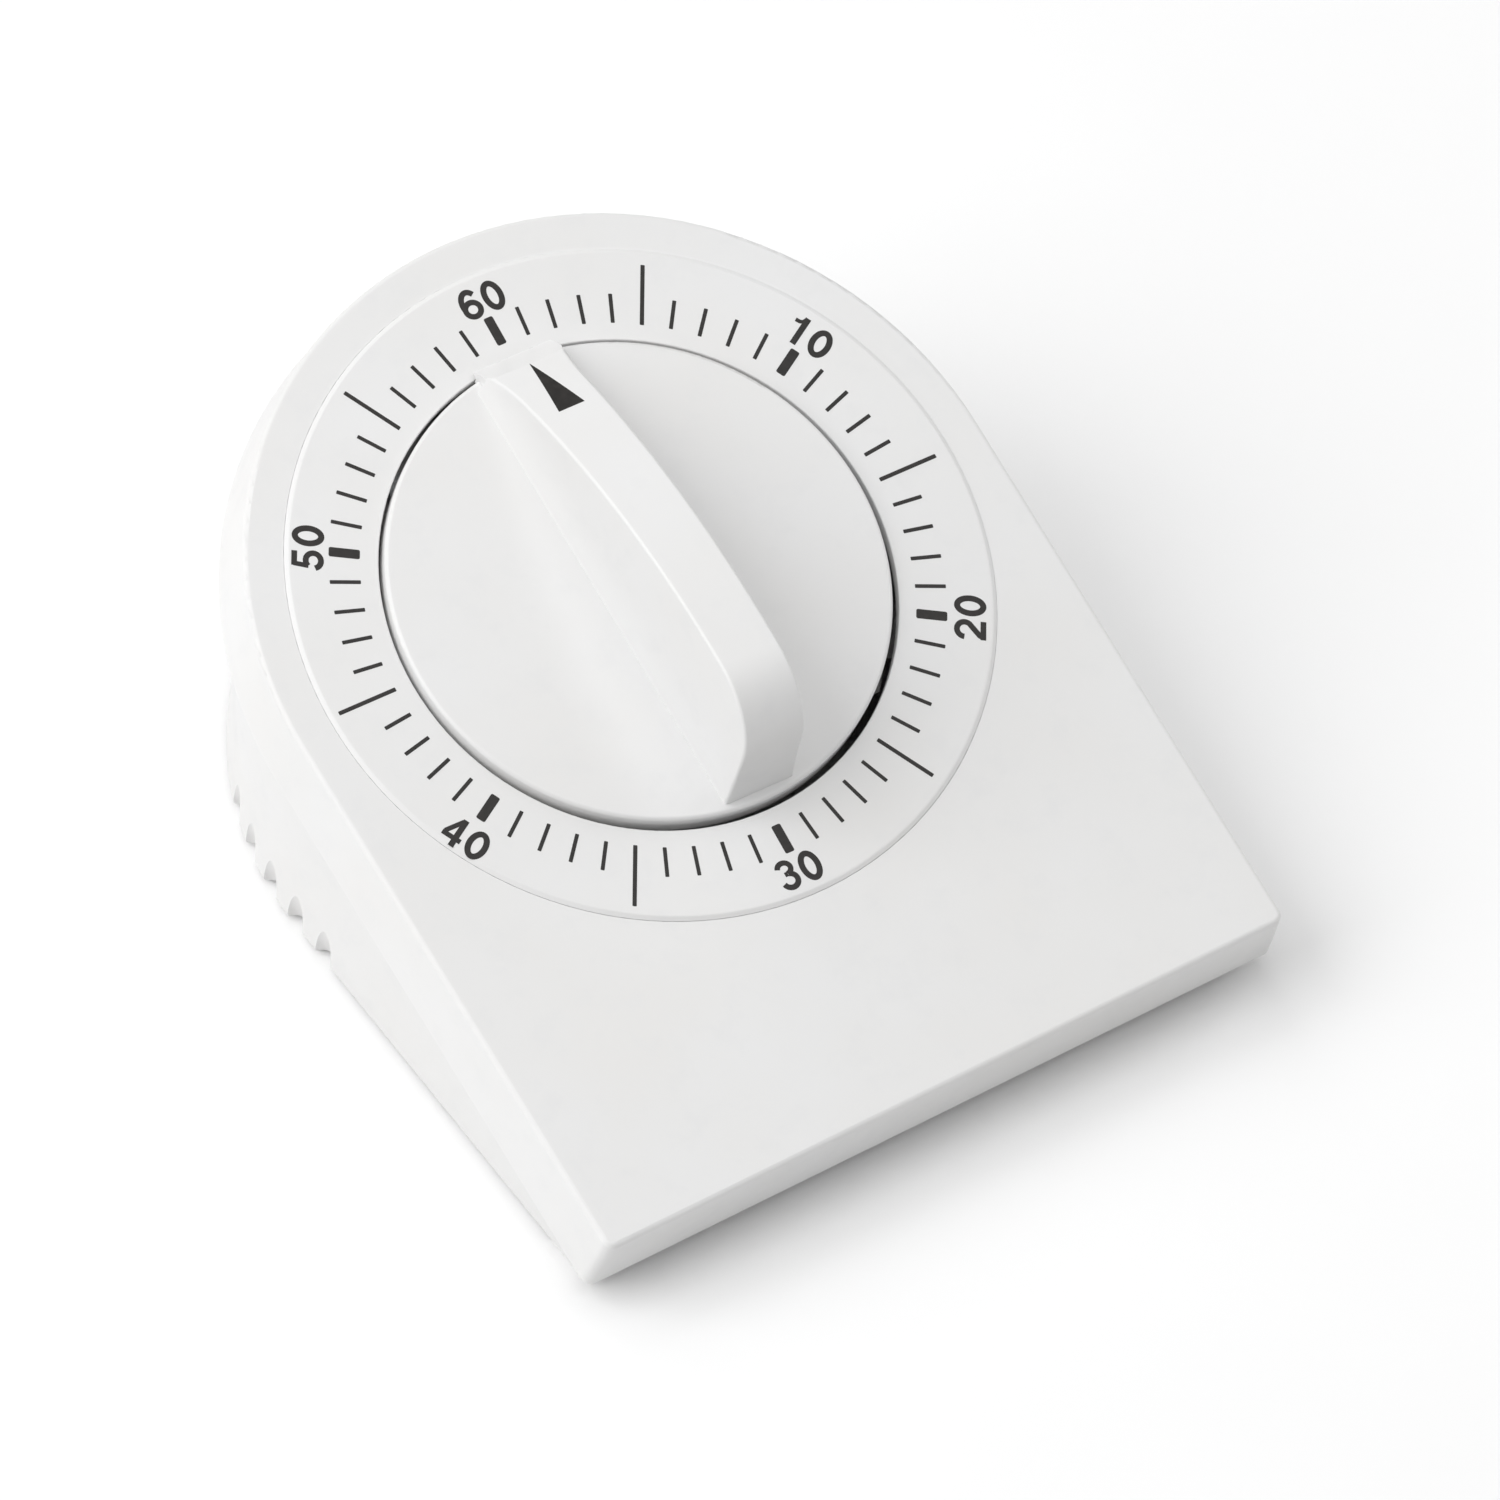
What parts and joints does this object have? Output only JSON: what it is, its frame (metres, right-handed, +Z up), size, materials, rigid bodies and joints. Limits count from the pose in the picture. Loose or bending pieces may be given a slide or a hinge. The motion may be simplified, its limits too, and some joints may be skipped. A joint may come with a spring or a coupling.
{
  "type": "mechanical lab timer",
  "caption": "Wedge-shaped white bench timer with a sloping printed minute dial, a wind-up ridge-grip knob, and a spring-driven gear train that drops a hammer on a bell.",
  "frame": {"origin": "on the table under the middle of the timer's bounding box", "axes": "+Z up, +X to the right of someone reading the dial, +Y from the low front edge towards the high rear; the dial face slopes 16.3 degrees up towards +Y"},
  "size_m": [0.0784, 0.0944, 0.0393],
  "materials": {
    "white_abs": "satin moulded ABS, very fine spark texture",
    "white_abs_base": "satin moulded ABS, slightly duller than the front",
    "white_abs_knob": "semi-gloss moulded ABS",
    "white_dial": "matte white printed ring",
    "zinc_steel": "bright zinc plate",
    "spring_steel": "blued spring steel",
    "turned_steel": "turned steel, lightly oiled",
    "plate_steel": "stamped zinc-plated sheet",
    "brass": "stamped brass",
    "bell_steel": "nickel-plated"
  },
  "bodies": {
    "case": {"front_shell": "white_abs", "base_shell": "white_abs_base", "case_screws": "zinc_steel", "dial_ring": "white_dial", "front_plate": "plate_steel", "rear_plate": "plate_steel", "pillars": "turned_steel", "plate_screws": "zinc_steel", "movement_screws": "zinc_steel", "spring_cup": "plate_steel", "mainspring": "spring_steel", "hammer_spring": "spring_steel", "bell": "bell_steel", "bell_post": "turned_steel", "bell_screw": "zinc_steel"},
    "knob_and_arbor": {"knob": "white_abs_knob", "knob_clip": "spring_steel", "main_arbor": "turned_steel", "great_wheel": "brass", "clutch_spring": "spring_steel", "clutch_collar": "brass", "alarm_cam": "brass"},
    "second_train": {"second_pinion": "turned_steel", "second_wheel": "brass"},
    "third_train": {"third_pinion": "turned_steel", "third_wheel": "brass"},
    "escape_train": {"escape_pinion": "turned_steel", "escape_wheel": "brass"},
    "anchor": {"anchor_arbor": "turned_steel", "pallet_anchor": "brass", "pallet_pins": "turned_steel", "inertia_bar": "brass"},
    "hammer": {"hammer_arbor": "turned_steel", "cam_follower": "plate_steel", "hammer_arm": "plate_steel", "hammer_head": "brass"}
  },
  "joints": [
    {"name": "knob_turn", "type": "hinge", "parent": "case", "child": "knob_and_arbor", "pos_m": [-0.0005, 0.01106, 0.01374], "axis": [0, -0.2807, 0.9598], "range_deg": [-360, 0]},
    {"name": "second_turn", "type": "hinge", "parent": "case", "child": "second_train", "pos_m": [-0.01262, 0.01778, 0.0157], "axis": [0, -0.2807, 0.9598], "range_deg": [0, 2160]},
    {"name": "third_turn", "type": "hinge", "parent": "case", "child": "third_train", "pos_m": [-0.00259, 0.02452, 0.01768], "axis": [0, -0.2807, 0.9598], "range_deg": [-12960, 0]},
    {"name": "escape_turn", "type": "hinge", "parent": "case", "child": "escape_train", "pos_m": [0.00775, 0.02277, 0.01716], "axis": [0, -0.2807, 0.9598], "range_deg": [0, 77760]},
    {"name": "anchor_swing", "type": "hinge", "parent": "case", "child": "anchor", "pos_m": [0.01485, 0.01883, 0.01601], "axis": [0, -0.2807, 0.9598], "range_deg": [-7, 7]},
    {"name": "hammer_swing", "type": "hinge", "parent": "case", "child": "hammer", "pos_m": [-0.009, -0.00142, 0.01009], "axis": [0, -0.2807, 0.9598], "range_deg": [-5, 0]}
  ],
  "couplings": [
    {"joint": "second_turn", "follows": "knob_turn", "ratio": -6},
    {"joint": "third_turn", "follows": "knob_turn", "ratio": 36},
    {"joint": "escape_turn", "follows": "knob_turn", "ratio": -216}
  ]
}
